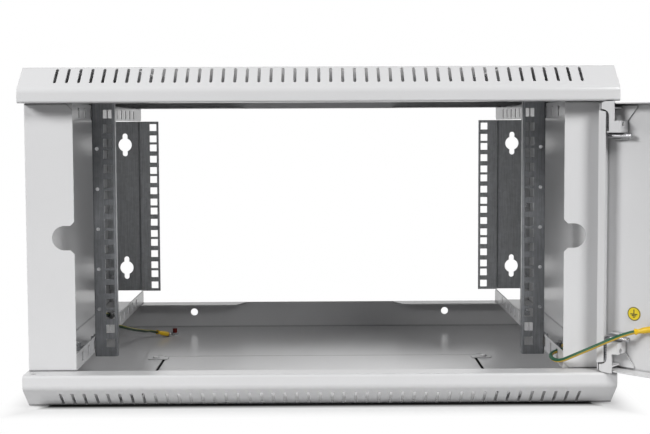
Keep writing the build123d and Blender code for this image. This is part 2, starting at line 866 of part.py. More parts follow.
# Cam lock: housing through the skin, nut inside, core with keyway, cam and its screw
lock_axis = Plane(origin=door_point(lock_u, outer_v, 0), x_dir=door_frame.x_dir, z_dir=-door_frame.y_dir)
with BuildPart() as lock_housing:
    with BuildSketch(lock_axis):
        Circle(lock_body_radius)
    extrude(amount=lock_length)
    with BuildSketch(lock_axis):
        Circle(lock_head_radius)
    extrude(amount=-lock_head_height)
    head_face = lock_housing.faces().sort_by_distance(door_point(lock_u, outer_v + lock_head_height, 0))[0]
    fillet(head_face.edges(), lock_round)
    with BuildSketch(lock_axis.offset(-lock_head_height)):
        Circle(lock_core_radius + lock_fit)
    extrude(amount=lock_length + lock_head_height, mode=Mode.SUBTRACT)
keep(lock_housing, "lock_housing")

with BuildPart() as lock_nut:
    with BuildSketch(lock_axis.offset(sheet)):
        RegularPolygon(lock_nut_across / 2, 6, major_radius=False)
        Circle(lock_body_radius + lock_fit, mode=Mode.SUBTRACT)
    extrude(amount=lock_nut_height)
keep(lock_nut, "lock_nut")

cam_start = door_depth + cam_clearance
with BuildPart() as lock_core:
    with BuildSketch(lock_axis.offset(-lock_head_height)):
        Circle(lock_core_radius)
    extrude(amount=cam_start + lock_head_height)
    with BuildSketch(lock_axis.offset(-lock_head_height)):
        Rectangle(key_slot_length, key_slot_width)
    extrude(amount=key_slot_depth, mode=Mode.SUBTRACT)
    with BuildSketch(lock_axis.offset(cam_start)):
        Rectangle(cam_hole, cam_hole)
    extrude(amount=cam_thickness)
keep(lock_core, "lock_core")

with BuildPart() as lock_cam:
    with BuildSketch(lock_axis.offset(cam_start)):
        with Locations((-(cam_length - cam_width) / 2, 0)):
            SlotOverall(cam_length, cam_width)
        Rectangle(cam_hole, cam_hole, mode=Mode.SUBTRACT)
    extrude(amount=cam_thickness)
keep(lock_cam, "lock_cam")

with BuildPart() as lock_cam_screw:
    with BuildSketch(lock_axis.offset(cam_start + cam_thickness)):
        RegularPolygon(m6_head_radius, 6, major_radius=False)
    extrude(amount=m6_head_height)
keep(lock_cam_screw, "lock_cam_screw")

# Earth studs: one welded to the floor, one to the door's skin, each with washer and nut
floor_heading = Vector(-0.62, -0.785, 0)
door_heading = door_frame.x_dir * -0.969 + Vector(0, 0, -0.246)
floor_seat = Plane(origin=(floor_stud_x, floor_stud_y, sheet), x_dir=floor_heading, z_dir=(0, 0, 1))
door_seat = Plane(
    origin=door_point(door_stud_u, skin_v, door_stud_z), x_dir=door_heading, z_dir=-door_frame.y_dir
)
with BuildPart() as floor_stud:
    with BuildSketch(floor_seat.offset(-sheet)):
        Circle(stud_radius)
    extrude(amount=sheet + floor_stud_height)
keep(floor_stud, "floor_stud")

with BuildPart() as door_stud:
    with BuildSketch(door_seat):
        Circle(stud_radius)
    extrude(amount=door_stud_height)
keep(door_stud, "door_stud")


def stud_nut(seat):
    """A washer and a nut that hold a lug on its stud."""
    with BuildPart() as nut:
        with BuildSketch(seat.offset(lug_sheet)):
            Circle(stud_washer_radius)
            Circle(stud_radius, mode=Mode.SUBTRACT)
        extrude(amount=stud_washer_height)
        with BuildSketch(seat.offset(lug_sheet + stud_washer_height)):
            RegularPolygon(stud_nut_across / 2, 6, major_radius=False)
            Circle(stud_radius, mode=Mode.SUBTRACT)
        extrude(amount=stud_nut_height)
    return nut


floor_stud_nut = stud_nut(floor_seat)
keep(floor_stud_nut, "floor_stud_nut")

door_stud_nut = stud_nut(door_seat)
keep(door_stud_nut, "door_stud_nut")

# Crimped ring lugs with their sleeves: three on the cabinet, one on the door
left_seat = Plane(origin=(-side_screw_x, side_screw_y[1], nut_seat), x_dir=(0, -1, 0), z_dir=(0, 0, 1))
right_seat = Plane(origin=(side_screw_x, side_screw_y[0], nut_seat), x_dir=(0, -1, 0), z_dir=(0, 0, 1))
cabinet_seats = (floor_seat, left_seat, right_seat)


def barrel_plane(seat):
    """Plane across the root of a lug's barrel, whose normal runs out along the lead."""
    rise = radians(lug_rise)
    return Plane(
        origin=seat.from_local_coords(Vector(lug_reach, 0, barrel_radius)),
        x_dir=seat.y_dir,
        z_dir=seat.x_dir * cos(rise) + seat.z_dir * sin(rise),
    )


def ring_lugs(seats):
    """Flat rings and tongues with crimped barrels, one on each seat."""
    with BuildPart() as lugs:
        for seat in seats:
            with BuildSketch(seat):
                Circle(lug_radius)
                with Locations(((lug_reach + barrel_radius) / 2, 0)):
                    Rectangle(lug_reach + barrel_radius, lug_tongue)
                Circle(stud_radius, mode=Mode.SUBTRACT)
            extrude(amount=lug_sheet)
            with BuildSketch(barrel_plane(seat)):
                Circle(barrel_radius)
            extrude(amount=barrel_length)
    return lugs


def lug_sleeves(seats):
    """Sleeves that cover the barrels' ends and the leads', one on each lug."""
    with BuildPart() as sleeves:
        for seat in seats:
            with BuildSketch(barrel_plane(seat).offset(boot_start)):
                Circle(boot_radius)
            extrude(amount=boot_length)
            with BuildSketch(barrel_plane(seat).offset(boot_start)):
                Circle(barrel_radius)
            extrude(amount=barrel_length - boot_start, mode=Mode.SUBTRACT)
    return sleeves


def lead_mouth(seat):
    """Plane of a sleeve's far face, where its lead comes out."""
    return barrel_plane(seat).offset(boot_start + boot_length)


cabinet_lugs = ring_lugs(cabinet_seats)
keep(cabinet_lugs, "cabinet_lugs")

cabinet_sleeves = lug_sleeves(cabinet_seats)
keep(cabinet_sleeves, "cabinet_sleeves")

door_lug = ring_lugs([door_seat])
keep(door_lug, "door_lug")

door_sleeve = lug_sleeves([door_seat])
keep(door_sleeve, "door_sleeve")


# Earth leads, from sleeve to sleeve through a slot of the side panel's web
def lead_route(first_seat, middle, last_seat):
    """The route's points: each end leaves its sleeve straight, and the rest are chosen by hand."""
    first = lead_mouth(first_seat)
    last = lead_mouth(last_seat)
    return [
        first.origin,
        first.offset(lead_straight).origin,
        *[Vector(*point) for point in middle],
        last.offset(lead_straight).origin,
        last.origin,
    ]


def bend_radii(name, points):
    """The largest arc at each corner that leaves a tenth of its shorter run straight."""
    radii = []
    for before, corner, after in zip(points, points[1:], points[2:]):
        turn = radians((corner - before).get_angle(after - corner))
        shorter = min((corner - before).length, (after - corner).length)
        radii.append(0.45 * shorter / tan(turn / 2))
    print(name, "radii", [round(radius, 1) for radius in radii])
    print(name, "points", [tuple(round(value, 2) for value in point) for point in points])
    return radii


door_lead_middle = [
    (264.5, -164.5, 50),
    (252, -172.5, 48.6),
    (241.5, -181, 47),
    (239.5, -196, 44.8),
    (245.5, -209.5, 45.2),
    (256, -220, 53),
    (272, -227.5, 62),
    (290, -232, 71),
]
floor_lead_middle = [
    (-270.6, 37, 51),
    (-269.5, 20, 49.5),
    (-260.5, 10.3, 47),
    (-247.5, 10, 43.5),
    (-238.8, 19.5, 39),
    (-236.5, 36, 34.5),
    (-234.5, 58, 29),
    (-231, 82, 23.5),
    (-227, 105, 18),
]
door_lead_points = lead_route(right_seat, door_lead_middle, door_seat)
with BuildPart() as door_earth_lead:
    with BuildLine() as door_lead_path:
        FilletPolyline(*door_lead_points, radius=bend_radii("door lead", door_lead_points))
    with BuildSketch(Plane(origin=door_lead_path.line @ 0, z_dir=door_lead_path.line % 0)):
        Circle(door_lead_radius)
    sweep()
keep(door_earth_lead, "door_earth_lead")

floor_lead_points = lead_route(left_seat, floor_lead_middle, floor_seat)
with BuildPart() as floor_earth_lead:
    with BuildLine() as floor_lead_path:
        FilletPolyline(*floor_lead_points, radius=bend_radii("floor lead", floor_lead_points))
    with BuildSketch(Plane(origin=floor_lead_path.line @ 0, z_dir=floor_lead_path.line % 0)):
        Circle(floor_lead_radius)
    sweep()
keep(floor_earth_lead, "floor_earth_lead")

for name, lead, path, radius in (
    ("door lead", door_earth_lead, door_lead_path, door_lead_radius),
    ("floor lead", floor_earth_lead, floor_lead_path, floor_lead_radius),
):
    length = sum(edge.length for edge in path.edges())
    print(name, "length", round(length, 1), "volume ratio", lead.part.volume / (pi * radius**2 * length))
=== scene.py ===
# %% [markdown]
# # A wall mount network cabinet
# The cabinet is folded from sheet steel and powder coated in light grey. Its door stands open, so the
# galvanised rails, the slotted webs, the sprung hinge pins and the earth leads all show.
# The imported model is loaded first. It fixes every size, and nothing here moves or resizes it.

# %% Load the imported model
from math import cos, pi, radians, sin

import bpy
from mathutils import Matrix, Vector


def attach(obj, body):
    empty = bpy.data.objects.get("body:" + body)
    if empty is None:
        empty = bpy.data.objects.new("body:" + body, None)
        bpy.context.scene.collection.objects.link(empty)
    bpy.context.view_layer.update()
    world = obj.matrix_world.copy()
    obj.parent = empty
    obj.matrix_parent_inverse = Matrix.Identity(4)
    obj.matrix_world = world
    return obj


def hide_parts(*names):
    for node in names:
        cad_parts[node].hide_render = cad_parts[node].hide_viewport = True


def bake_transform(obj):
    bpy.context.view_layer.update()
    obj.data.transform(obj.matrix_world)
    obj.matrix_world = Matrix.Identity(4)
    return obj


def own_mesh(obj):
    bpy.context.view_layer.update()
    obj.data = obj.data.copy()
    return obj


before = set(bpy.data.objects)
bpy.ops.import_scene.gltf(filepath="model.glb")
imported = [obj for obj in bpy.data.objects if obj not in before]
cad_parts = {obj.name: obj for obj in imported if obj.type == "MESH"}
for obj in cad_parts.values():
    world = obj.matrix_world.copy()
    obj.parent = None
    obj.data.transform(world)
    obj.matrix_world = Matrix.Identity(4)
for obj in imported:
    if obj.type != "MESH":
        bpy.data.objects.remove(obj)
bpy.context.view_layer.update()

print("CAD nodes:", len(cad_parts))

# %% [markdown]
# ## Camera
# The photograph was taken from about 1.1 m in front of the cabinet, a little above its middle, with the
# camera tilted down by three degrees. A camera could be aimed by the angles in its object's panel. Here it is
# placed by three directions, where it looks, what is to its right and what is up, because each small angle
# then turns just two of them. The picture was cropped afterwards, which the lens shift stands for.

# %% Place the camera
image_width_px = 650
focal_px = 1080.0
centre_drop_px = 32.03
camera_place = Vector((-0.00139, -1.30081, 0.28876))
tilt_down = 0.05655
turn_left = -0.00654
roll = -0.0045

look = Vector((-sin(turn_left), cos(turn_left), 0))
right = Vector((cos(turn_left), sin(turn_left), 0))
up = Vector((0, 0, 1))
look_down = look * cos(tilt_down) - up * sin(tilt_down)
up_tilted = up * cos(tilt_down) + look * sin(tilt_down)
right_rolled = right * cos(roll) + up_tilted * sin(roll)
up_rolled = up_tilted * cos(roll) - right * sin(roll)

camera_data = bpy.data.cameras.new("photo_camera")
camera_data.sensor_width = 36.0
camera_data.lens = focal_px / image_width_px * camera_data.sensor_width
camera_data.shift_y = -centre_drop_px / image_width_px
camera_data.clip_end = 50.0
camera = bpy.data.objects.new("photo_camera", camera_data)
bpy.context.scene.collection.objects.link(camera)
turn = Matrix((right_rolled, up_rolled, -look_down)).transposed()
camera.matrix_world = Matrix.Translation(camera_place) @ turn.to_4x4()
bpy.context.scene.camera = camera
print("lens in mm:", round(camera_data.lens, 2))

# %% [markdown]
# ## Colours and nodes
# Paint and plastic are written as sRGB hex values, the way a screen shows them, but Blender mixes light in
# linear values, so one function turns the first into the second. Nodes could be placed by hand in the shader
# editor. Here one function adds a node with its settings and links, so that each finish below reads as a
# short list of what makes it.

# %% Helpers for colours and nodes
multiply_colours = {"data_type": "RGBA", "blend_type": "MULTIPLY"}
smooth_steps = {"interpolation_type": "SMOOTHSTEP"}


def colour(code):
    """A linear colour from an sRGB hex value such as #C8CACA."""
    values = [int(code[i:i + 2], 16) / 255 for i in (1, 3, 5)]
    linear = [v / 12.92 if v <= 0.04045 else ((v + 0.055) / 1.055) ** 2.4 for v in values]
    return (*linear, 1.0)


def add(tree, kind, settings=None, **inputs):
    """Adds a node, sets its properties, and fills or links its inputs by name, or by number as i0 or i1."""
    node = tree.nodes.new(kind)
    for name, value in (settings or {}).items():
        setattr(node, name, value)
    for name, value in inputs.items():
        key = int(name[1:]) if name[1:].isdigit() else name.replace("_", " ")
        if isinstance(value, bpy.types.NodeSocket):
            tree.links.new(value, node.inputs[key])
        else:
            node.inputs[key].default_value = value
    return node


def new_material(name):
    """An empty node material and its tree."""
    made = bpy.data.materials.new(name)
    made.use_nodes = True
    made.node_tree.nodes.clear()
    return made, made.node_tree


print("white is", colour("#FFFFFF"))

# %% [markdown]
# ## White backdrop
# The photograph has a plain white background. The camera, and surfaces that mirror or let light through, see
# that white here, while the light that the world throws on the cabinet is set by itself, low and even. Metal
# that faces the camera mirrors the darker room in front instead. A large white wall behind the cabinet could
# show the same, but it would also throw light through the open back.

# %% World
ambient_strength = 0.06
front_room_strength = 0.25

world = bpy.data.worlds.new("studio")
bpy.context.scene.world = world
world.use_nodes = True
world_tree = world.node_tree
world_tree.nodes.clear()
path = add(world_tree, "ShaderNodeLightPath")
seen = add(world_tree, "ShaderNodeMath", {"operation": "MAXIMUM"}, i0=path.outputs["Is Camera Ray"],
           i1=path.outputs["Is Glossy Ray"])
shown = add(world_tree, "ShaderNodeMath", {"operation": "MAXIMUM"}, i0=seen.outputs[0],
            i1=path.outputs["Is Transmission Ray"])
ambient = add(world_tree, "ShaderNodeBackground", Color=colour("#FFFFFF"), Strength=ambient_strength)
# The second output is how far a ray goes to the back, from -1 towards the room in front to 1 behind
around = add(world_tree, "ShaderNodeTexCoord")
facing = add(world_tree, "ShaderNodeSeparateXYZ", Vector=around.outputs["Generated"])
room = add(world_tree, "ShaderNodeMapRange", smooth_steps, Value=facing.outputs[1], From_Min=-0.75,
           From_Max=-0.15, To_Min=front_room_strength, To_Max=1.0)
level = add(world_tree, "ShaderNodeMath", {"operation": "MAXIMUM"}, i0=path.outputs["Is Camera Ray"],
            i1=room.outputs[0])
backdrop = add(world_tree, "ShaderNodeBackground", Color=colour("#FFFFFF"), Strength=level.outputs[0])
both = add(world_tree, "ShaderNodeMixShader", Fac=shown.outputs[0], i1=ambient.outputs[0],
           i2=backdrop.outputs[0])
add(world_tree, "ShaderNodeOutputWorld", Surface=both.outputs[0])
print("world:", len(world_tree.nodes), "nodes")

# %% [markdown]
# ## White table
# The cabinet stands on a white table that runs into the background. To the camera and in reflections it is
# plain white, fading to its own shade at the cabinet's edge, so that the shadow under the bevel is kept. An
# evenly lit table could stand for it, but it would throw too much light up into the open cabinet. So the
# table's paint is pale only close by and dim further out, painted shade that holds back the light it throws,
# and nearly black underneath, painted shade where gaps in the cabinet show it.

# %% How far a point of the table lies outside the footprint
cover_corners = [vertex.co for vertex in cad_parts["bottom_cover"].data.vertices]
half_width = round(max(corner.x for corner in cover_corners), 4)
half_depth = round(max(corner.y for corner in cover_corners), 4)

floor_paint, floor_tree = new_material("studio_floor_paint")
ground = add(floor_tree, "ShaderNodeTexCoord")
split = add(floor_tree, "ShaderNodeSeparateXYZ", Vector=ground.outputs["Object"])
across = add(floor_tree, "ShaderNodeMath", {"operation": "ABSOLUTE"}, i0=split.outputs[0])
along = add(floor_tree, "ShaderNodeMath", {"operation": "ABSOLUTE"}, i0=split.outputs[1])
past_side = add(floor_tree, "ShaderNodeMath", {"operation": "SUBTRACT"}, i0=across.outputs[0], i1=half_width)
past_front = add(floor_tree, "ShaderNodeMath", {"operation": "SUBTRACT"}, i0=along.outputs[0], i1=half_depth)
outside = add(floor_tree, "ShaderNodeMath", {"operation": "MAXIMUM"}, i0=past_side.outputs[0],
              i1=past_front.outputs[0])
print("footprint in metres:", 2 * half_width, "by", 2 * half_depth)

# %% White as the camera sees it, and the table's painted glow near the cabinet
edge_glow_strength = 0.13

path = add(floor_tree, "ShaderNodeLightPath")
seen = add(floor_tree, "ShaderNodeMath", {"operation": "MAXIMUM"}, i0=path.outputs["Is Camera Ray"],
           i1=path.outputs["Is Glossy Ray"])
white_share = add(floor_tree, "ShaderNodeMapRange", smooth_steps, Value=outside.outputs[0],
                  From_Min=-0.025, From_Max=0.03, To_Min=0.0, To_Max=1.0)
share = add(floor_tree, "ShaderNodeMath", {"operation": "MULTIPLY"}, i0=seen.outputs[0],
            i1=white_share.outputs[0])
# The table glows faintly near the cabinet's edge, a painted glow that stands in for the light a white table
# throws back up at the edge that stands over it
apron = add(floor_tree, "ShaderNodeMapRange", smooth_steps, Value=outside.outputs[0],
            From_Min=0.08, From_Max=0.25, To_Min=edge_glow_strength, To_Max=0.0)
past_rim = add(floor_tree, "ShaderNodeMath", {"operation": "GREATER_THAN"}, i0=outside.outputs[0], i1=-0.02)
painted_edge_glow = add(floor_tree, "ShaderNodeMath", {"operation": "MULTIPLY"}, i0=apron.outputs[0],
             i1=past_rim.outputs[0])
share_all = add(floor_tree, "ShaderNodeMath", {"operation": "MAXIMUM"}, i0=share.outputs[0],
                i1=painted_edge_glow.outputs[0])
print("table paint so far:", len(floor_tree.nodes), "nodes")

# %% The table's own paint
# Painted shade: the table's paint dims further out, so that it throws less light into the cabinet
near = add(floor_tree, "ShaderNodeMapRange", smooth_steps, Value=outside.outputs[0],
           From_Min=0.10, From_Max=0.40, To_Min=0.80, To_Max=0.12)
# Painted shade: under the cabinet the table is painted nearly black
under = add(floor_tree, "ShaderNodeMapRange", Value=outside.outputs[0], From_Min=-0.02, From_Max=-0.01,
            To_Min=0.05, To_Max=1.0)
bounce = add(floor_tree, "ShaderNodeMath", {"operation": "MULTIPLY"}, i0=near.outputs[0],
             i1=under.outputs[0])
paint = add(floor_tree, "ShaderNodeCombineColor", i0=bounce.outputs[0], i1=bounce.outputs[0],
            i2=bounce.outputs[0])
matt = add(floor_tree, "ShaderNodeBsdfDiffuse", Color=paint.outputs[0])
glow = add(floor_tree, "ShaderNodeEmission", Color=colour("#FFFFFF"), Strength=1.0)
both = add(floor_tree, "ShaderNodeMixShader", Fac=share_all.outputs[0], i1=matt.outputs[0],
           i2=glow.outputs[0])
add(floor_tree, "ShaderNodeOutputMaterial", Surface=both.outputs[0])
print("table paint:", len(floor_tree.nodes), "nodes")

# %% Lay the table
table_size = 14.0
table_drop = 0.0005

bpy.ops.object.select_all(action="DESELECT")
bpy.ops.mesh.primitive_plane_add(size=table_size, location=(0, 0, -table_drop))
floor = bpy.context.object
floor.name = "studio_floor"
floor.data.materials.append(floor_paint)
print("table:", floor.name)

# %% [markdown]
# ## Lamps
# White goods are photographed with large soft boxes, so that a folded sheet shows as planes of slightly
# different grey and not as hard shadows. A sun or a point lamp could light it too, but its shadows are
# hard. Two area lamps stand in front, to the left and to the right, and the left one is a little stronger.

# %% Soft boxes
def soft_light(name, place, aim, size, watts):
    """A rectangular area lamp at place, facing aim."""
    lamp = bpy.data.lights.new(name, "AREA")
    lamp.shape = "RECTANGLE"
    lamp.size, lamp.size_y = size
    lamp.energy = watts
    holder = bpy.data.objects.new(name, lamp)
    bpy.context.scene.collection.objects.link(holder)
    holder.location = place
    holder.rotation_euler = (Vector(aim) - Vector(place)).to_track_quat("-Z", "Y").to_euler()
    holder.visible_camera = False
    return holder


lamp_aim = (0, -0.2, 0.17)
soft_light("left_box", (-1.49, -1.24, 1.05), lamp_aim, (0.80, 0.50), 28)
soft_light("right_box", (1.05, -1.46, 1.31), lamp_aim, (0.70, 0.50), 25)

view = bpy.context.scene.view_settings
view.view_transform = "Standard"

# %% [markdown]
# ## Earth leads
# Each lead is a limp stranded wire in green and yellow, from a nut on a side panel to a stud on the door or
# on the floor. It could be modelled as a bent cylinder. Here it is one NURBS curve through the points of its
# route, given a round bevel, and turned into a mesh so that its stripes can follow it by the UV map.

# %% Routes of the leads, in metres
door_lead_route = [
    (0.2700, -0.13707, 0.04672), (0.2700, -0.15053, 0.05057), (0.2645, -0.1645, 0.0500),
    (0.2520, -0.1725, 0.0486), (0.2415, -0.1810, 0.0470), (0.2395, -0.1960, 0.0448),
    (0.2455, -0.2095, 0.0452), (0.2560, -0.2200, 0.0530), (0.2720, -0.2275, 0.0620),
    (0.2878, -0.2380, 0.0722), (0.3035, -0.2385, 0.0785), (0.31372, -0.23694, 0.08036),
]
floor_lead_route = [
    (-0.2700, 0.06863, 0.04672), (-0.2700, 0.05517, 0.05057), (-0.2706, 0.0370, 0.0510),
    (-0.2695, 0.0200, 0.0495), (-0.2605, 0.0103, 0.0470), (-0.2475, 0.0100, 0.0435),
    (-0.2388, 0.0195, 0.0390), (-0.2365, 0.0360, 0.0345), (-0.2345, 0.0580, 0.0290),
    (-0.2310, 0.0820, 0.0235), (-0.2270, 0.1050, 0.0180), (-0.22684, 0.12849, 0.01407),
    (-0.2185, 0.13905, 0.01022),
]
door_lead_diameter = 0.0040
floor_lead_diameter = 0.0035
print("points on the routes:", len(door_lead_route), "and", len(floor_lead_route))


# %% Make the leads
def route_curve(name, route):
    """One open NURBS spline whose control points are the route's."""
    curve = bpy.data.curves.new(name, "CURVE")
    curve.dimensions = "3D"
    curve.resolution_u = 16
    spline = curve.splines.new("NURBS")
    spline.points.add(len(route) - 1)
    for point, place in zip(spline.points, route):
        point.co = (*place, 1.0)
    spline.order_u = 3
    spline.use_endpoint_u = True
    holder = bpy.data.objects.new(name, curve)
    bpy.context.scene.collection.objects.link(holder)
    return holder


def line_of(holder):
    """The points of a curve's own line, and its length."""
    shape = bpy.data.meshes.new_from_object(holder)
    points = [vertex.co.copy() for vertex in shape.vertices]
    bpy.data.meshes.remove(shape)
    return points, sum((b - a).length for a, b in zip(points, points[1:]))


def make_lead(name, route, diameter):
    """A round mesh tube along the route, with a UV map that runs round and along it."""
    holder = route_curve(name, route)
    points, length = line_of(holder)
    holder.data.bevel_depth = diameter / 2
    holder.data.bevel_resolution = 4
    holder.data.use_fill_caps = True
    bpy.ops.object.select_all(action="DESELECT")
    holder.select_set(True)
    bpy.context.view_layer.objects.active = holder
    bpy.ops.object.convert(target="MESH")
    lead = bpy.context.object
    bpy.ops.object.shade_smooth()
    print(name, "length in mm", round(length * 1000, 1), "UV maps", [u.name for u in lead.data.uv_layers])
    return lead, points, length


door_lead, door_lead_line, door_lead_length = make_lead("door_lead", door_lead_route, door_lead_diameter)
floor_lead, floor_lead_line, floor_lead_length = make_lead("floor_lead", floor_lead_route,
                                                           floor_lead_diameter)
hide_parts("door_earth_lead")
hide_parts("floor_earth_lead")
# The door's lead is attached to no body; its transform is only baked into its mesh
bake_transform(door_lead)
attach(floor_lead, "cabinet")

# %% [markdown]
# ## Sleeves on the lugs
# Each lead ends in a ring lug, and a soft vinyl sleeve is pushed over its crimped barrel. The sleeve flares
# where the lead goes in, is narrow just behind that and is stretched wide over the barrel. It could be a
# curve that is spun round an axis. Here a filled circle is extruded ring by ring and each new ring is
# resized, which is how such a turned shape is made by hand. A dark red collar shows at the lug's end.

# %% A turned piece, ring by ring
crease_degrees = 50


def turned(name, rings, place, axis, segments=28):
    """Extrudes a circle through rings of (height, radius), in metres, then lays it along axis from place."""
    bpy.ops.object.select_all(action="DESELECT")
    height, radius = rings[0]
    bpy.ops.mesh.primitive_circle_add(vertices=segments, radius=radius, fill_type="NGON",
                                      location=(0, 0, height))
    piece = bpy.context.object
    piece.name = name
    bpy.ops.object.transform_apply(location=True, rotation=False, scale=False)
    bpy.ops.object.mode_set(mode="EDIT")
    bpy.ops.mesh.select_all(action="SELECT")
    for next_height, next_radius in rings[1:]:
        bpy.ops.mesh.extrude_region_move(TRANSFORM_OT_translate={"value": (0, 0, next_height - height)})
        ratio = next_radius / radius
        bpy.ops.transform.resize(value=(ratio, ratio, 1), center_override=(0, 0, next_height))
        height, radius = next_height, next_radius
    bpy.ops.mesh.select_all(action="SELECT")
    bpy.ops.mesh.normals_make_consistent(inside=False)
    bpy.ops.object.mode_set(mode="OBJECT")
    bpy.ops.object.shade_smooth_by_angle(angle=radians(crease_degrees))
    piece.rotation_euler = Vector(axis).to_track_quat("Z", "Y").to_euler()
    piece.location = place
    bpy.ops.object.transform_apply(location=True, rotation=True, scale=False)
    return piece


print("edges over", crease_degrees, "degrees stay sharp")

# %% Turn the sleeves and collars
mm = 0.001
sleeve_rings = [(5.0, 2.05), (3.0, 2.2), (0.3, 2.95), (0.0, 3.1), (0.15, 3.3), (0.8, 3.2), (1.8, 2.75),
                (3.2, 2.3), (4.8, 2.3), (6.2, 2.6), (8.0, 3.0), (10.5, 3.2), (14.0, 3.1), (17.0, 3.2),
                (19.4, 3.15), (19.9, 3.0), (20.0, 2.7)]
collar_rings = [(19.9, 2.75), (20.0, 2.95), (21.2, 2.95), (21.5, 2.75)]
# Where each sleeve's mouth is, which way it points to its lug, and the body that carries it
sleeve_places = {
    "nut_right": (door_lead_route[0], (0, 0.961, -0.276), "cabinet"),
    "nut_left": (floor_lead_route[0], (0, 0.961, -0.276), "cabinet"),
    "floor_stud": (floor_lead_route[-1], (0.596, 0.755, -0.276), "cabinet"),
    "door_stud": (door_lead_route[-1], (0.869, -0.434, 0.237), "door"),
}
sleeves = {}
collars = {}
for spot, (place, axis, body) in sleeve_places.items():
    sleeves[spot] = turned(f"sleeve_at_{spot}", [(h * mm, r * mm) for h, r in sleeve_rings], place, axis)
    collars[spot] = turned(f"collar_at_{spot}", [(h * mm, r * mm) for h, r in collar_rings], place, axis)
    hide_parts("door_sleeve" if body == "door" else "cabinet_sleeves")
    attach(sleeves[spot], body)
    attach(collars[spot], body)
print("sleeves:", [piece.name for piece in sleeves.values()])

# %% [markdown]
# ## The leads' lines
# The real leads are limp, so a program that moves the cabinet wants to know more than their shape: where
# each leaves its nut, how long and how thick it is, and which sleeves, collars and lugs hang on it. This
# could be read off the mesh. Each lead's line and length are measured on the curve's own line instead, which
# is exact, when the lead is made; nothing here hands them on.

print("cords:", door_lead.name, "and", floor_lead.name)

# %% [markdown]
# ## Springs on the hinge pins
# A small coil spring pushes each hinge pin out of its bracket, and it is pressed together when the handle is
# pulled. A coil could be a curve with a round bevel. Here a ring of wire is swept by the Screw modifier,
# which turns and lifts it at once. On the real pin one end of the spring rests on the door's bracket and the
# rest flattens towards it as the pin slides; here each coil is wound once, at rest, and rides on the door.

# %% Wind the two springs
hinge_place = (0.2905, -0.2150)
coil_radius = 0.0031
coil_rise = 0.0148
turns = 6
steps_per_turn = 24
wire_radius = 0.00035
wire_sides = 10
weld_distance = 0.000005


def coil_spring(name, foot):
    """A closed coil of round wire, its lowest ring at height foot, carried by the door."""
    bpy.ops.object.select_all(action="DESELECT")
    bpy.ops.mesh.primitive_circle_add(vertices=wire_sides, radius=wire_radius, location=(coil_radius, 0, 0),
                                      rotation=(pi / 2, 0, 0))
    piece = bpy.context.object
    piece.name = name
    bpy.ops.object.transform_apply(location=True, rotation=True, scale=False)
    wind = piece.modifiers.new("wind", "SCREW")
    wind.steps = wind.render_steps = steps_per_turn
    wind.iterations = turns
    wind.screw_offset = coil_rise / turns
    bpy.ops.object.modifier_apply(modifier="wind")
    bpy.ops.object.mode_set(mode="EDIT")
    bpy.ops.mesh.select_all(action="SELECT")
    bpy.ops.mesh.remove_doubles(threshold=weld_distance)
    bpy.ops.mesh.fill_holes(sides=0)
    bpy.ops.mesh.select_all(action="SELECT")
    bpy.ops.mesh.normals_make_consistent(inside=False)
    bpy.ops.object.mode_set(mode="OBJECT")
    bpy.ops.object.shade_smooth_by_angle(angle=radians(crease_degrees))
    piece.location = (*hinge_place, foot)
    bpy.ops.object.transform_apply(location=True, rotation=False, scale=False)
    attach(piece, "door")
    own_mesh(piece)
    return piece


coil_upper = coil_spring("coil_spring_upper", foot=0.28075)
coil_lower = coil_spring("coil_spring_lower", foot=0.05145)
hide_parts("hinge_spring_upper")
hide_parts("hinge_spring_lower")
print("coil faces:", len(coil_upper.data.polygons))

# %% [markdown]
# ## Earth sign
# A round disc of yellow film, 14 mm across, is stuck to the inside of the door above the earth stud. It
# carries the common sign for earth. The sign could be drawn in the disc's material. Here the disc is a
# turned piece, and the print is a few thin strips and a ring that stand a hair above it, so that its edges
# stay sharp from close by.

# %% Place the disc on the door
door_opening = radians(137)
hinge_axis = Vector((*hinge_place, 0))
door_along = Vector((-cos(door_opening), -sin(door_opening), 0))
door_inward = Vector((-sin(door_opening), cos(door_opening), 0))
skin_depth = 0.0088
sign_along = 0.0263
sign_height = 0.0967
sign_centre = hinge_axis + door_along * sign_along - door_inward * skin_depth + up * sign_height
sign_frame = Matrix((door_along, up, door_inward)).transposed().to_4x4()
sign_frame.translation = sign_centre

disc_radius = 0.0070
disc_thickness = 0.0004
rim_round = 0.0001
disc_rings = [(0, disc_radius - rim_round), (disc_thickness / 2, disc_radius),
              (disc_thickness, disc_radius - rim_round)]
sign_disc = turned("earth_sign_disc", disc_rings, sign_centre, door_inward, segments=48)
print("sign at", [round(value, 4) for value in sign_centre])

# %% Print the sign
print_thickness = 0.00006
line_width = 0.0010
stem_height = 0.0046
stem_middle = 0.0021
bar_widths = (0.0074, 0.0048, 0.0022)
first_bar = -0.0003
bar_step = 0.0015
ring_radius = 0.0065
ring_thickness = 0.0009


def strip(name, width, height, centre):
    """A thin printed strip in the sign's plane, its centre given across and up from the disc's."""
    bpy.ops.object.select_all(action="DESELECT")
    bpy.ops.mesh.primitive_plane_add(size=1, location=(*centre, disc_thickness))
    made = bpy.context.object
    made.name = name
    made.scale = (width, height, 1)
    bpy.ops.object.transform_apply(location=True, rotation=False, scale=True)
    bpy.ops.object.mode_set(mode="EDIT")
    bpy.ops.mesh.select_all(action="SELECT")
    bpy.ops.mesh.extrude_region_move(TRANSFORM_OT_translate={"value": (0, 0, print_thickness)})
    bpy.ops.mesh.select_all(action="SELECT")
    bpy.ops.mesh.normals_make_consistent(inside=False)
    bpy.ops.object.mode_set(mode="OBJECT")
    return made


